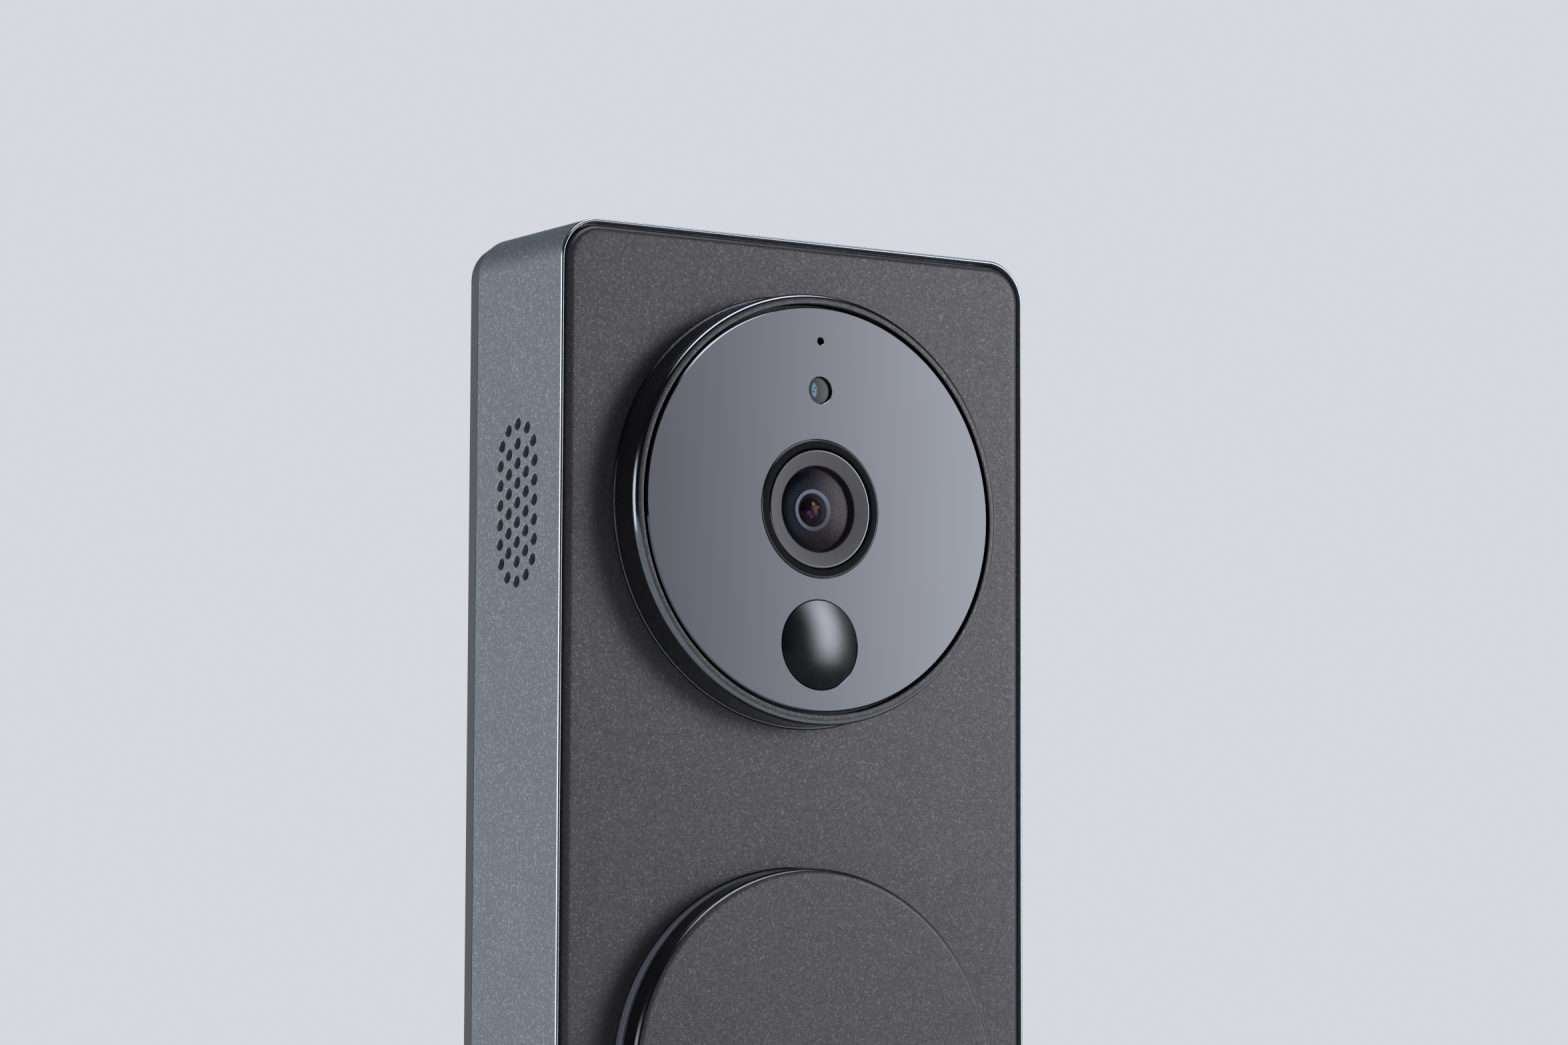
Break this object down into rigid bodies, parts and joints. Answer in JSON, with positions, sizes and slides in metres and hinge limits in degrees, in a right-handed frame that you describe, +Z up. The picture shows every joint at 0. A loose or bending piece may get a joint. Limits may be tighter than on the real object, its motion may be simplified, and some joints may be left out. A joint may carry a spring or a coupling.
{
  "type": "video doorbell",
  "caption": "Battery video doorbell on a wall plate, with a round camera turret, round push button, light ring and side speaker grille.",
  "frame": {"origin": "middle of the wall face, half way between the two wall screw holes", "axes": "+Z up along the case, +Y into the wall, +X to the right seen from the front, so the button and camera face -Y"},
  "size_m": [0.065, 0.028, 0.14],
  "materials": {
    "wall_plate_plastic": "fine moulded texture",
    "screw_steel": "zinc plated",
    "frame_paint": "cool grey metallic paint, satin",
    "plate_paint": "warm dark grey metallic paint, fine texture",
    "cover_plastic": "dark grey fine texture",
    "seal_rubber": "matt",
    "turret_plastic": "gloss wall, textured front ring",
    "inner_plastic": "as moulded",
    "tape": "foam tape",
    "window_black": "polished black",
    "bezel_black": "satin black",
    "annulus_grey": "matt grey",
    "lens_glass": "coated",
    "lens_black": "matt black",
    "dome_black": "gloss black, lets infrared through",
    "sensor_grey": "smoked clear",
    "chip_black": "epoxy",
    "board_green": "solder mask",
    "can_metal": "tin plated",
    "antenna_ceramic": "ceramic",
    "led_clear": "clear epoxy",
    "brass": "turned",
    "terminal_nickel": "nickel plated brass",
    "battery_wrap": "shrink wrap",
    "spring_steel": "bright",
    "pin_plastic": "orange acetal",
    "mesh_fabric": "woven dust mesh",
    "speaker_black": "moulded basket",
    "light_ring_clear": "frosted translucent",
    "button_plastic": "gloss wall, textured metallic face"
  },
  "bodies": {
    "mount": {"mounting_plate": "wall_plate_plastic"},
    "lock_screw": {"lock_screw": "screw_steel"},
    "button": {"button_cap": "button_plastic", "button_plunger": "inner_plastic", "switch_stem": "inner_plastic"},
    "reset": {"reset_button": "pin_plastic"},
    "tamper": {"tamper_plunger": "pin_plastic"},
    "doorbell": {"battery_contacts": "brass", "battery_pack": "battery_wrap", "battery_tray": "inner_plastic", "button_guide": "inner_plastic", "camera_board": "board_green", "camera_board_screws": "screw_steel", "camera_connector": "chip_black", "camera_window": "window_black", "front_plate": "plate_paint", "front_seal": "seal_rubber", "image_sensor": "chip_black", "infrared_leds": "led_clear", "lens_barrel": "lens_black", "lens_bezel_ring": "bezel_black", "lens_face_ring": "annulus_grey", "lens_front_glass": "lens_glass", "lens_holder": "inner_plastic", "lens_inner_element": "lens_glass", "light_ring": "light_ring_clear", "light_sensor": "chip_black", "light_sensor_window": "sensor_grey", "locking_insert": "brass", "main_board": "board_green", "main_board_screws": "screw_steel", "memory_chips": "chip_black", "microphone": "can_metal", "microphone_boot": "seal_rubber", "pir_dome": "dome_black", "pir_sensor": "can_metal", "processor_shield": "can_metal", "rear_cover": "cover_plastic", "rear_cover_screws": "screw_steel", "rear_seal": "seal_rubber", "reset_spring": "spring_steel", "reset_switch": "chip_black", "return_spring": "spring_steel", "ring_led_board": "board_green", "ring_leds": "led_clear", "side_frame": "frame_paint", "speaker": "speaker_black", "speaker_gasket": "seal_rubber", "speaker_mesh": "mesh_fabric", "tact_switch": "chip_black", "tamper_spring": "spring_steel", "tamper_switch": "chip_black", "terminal_plates": "terminal_nickel", "terminal_screws": "terminal_nickel", "turret_carrier": "inner_plastic", "turret_ring": "turret_plastic", "usb_socket": "can_metal", "wifi_antenna": "antenna_ceramic", "window_adhesive": "tape"}
  },
  "joints": [
    {"name": "unit_lift", "type": "slide", "parent": "mount", "child": "doorbell", "axis": [0, 0, 1], "range_m": [0, 0.006]},
    {"name": "lock_screw_turn", "type": "hinge", "parent": "mount", "child": "lock_screw", "pos_m": [0, -0.0074, -0.0694], "axis": [0, 0, 1], "continuous": true},
    {"name": "button_press", "type": "slide", "parent": "doorbell", "child": "button", "axis": [0, 1, 0], "range_m": [0, 0.00045], "stiffness_N_per_m": 2000, "springref_m": -0.0005, "deforming": ["return_spring"]},
    {"name": "reset_press", "type": "slide", "parent": "doorbell", "child": "reset", "axis": [0, -1, 0], "range_m": [0, 0.0005], "stiffness_N_per_m": 500, "springref_m": -0.0005, "deforming": ["reset_spring"]},
    {"name": "tamper_press", "type": "slide", "parent": "doorbell", "child": "tamper", "axis": [0, -1, 0], "range_m": [0, 0.0005], "stiffness_N_per_m": 500, "springref_m": -0.0005, "deforming": ["tamper_spring"]}
  ]
}
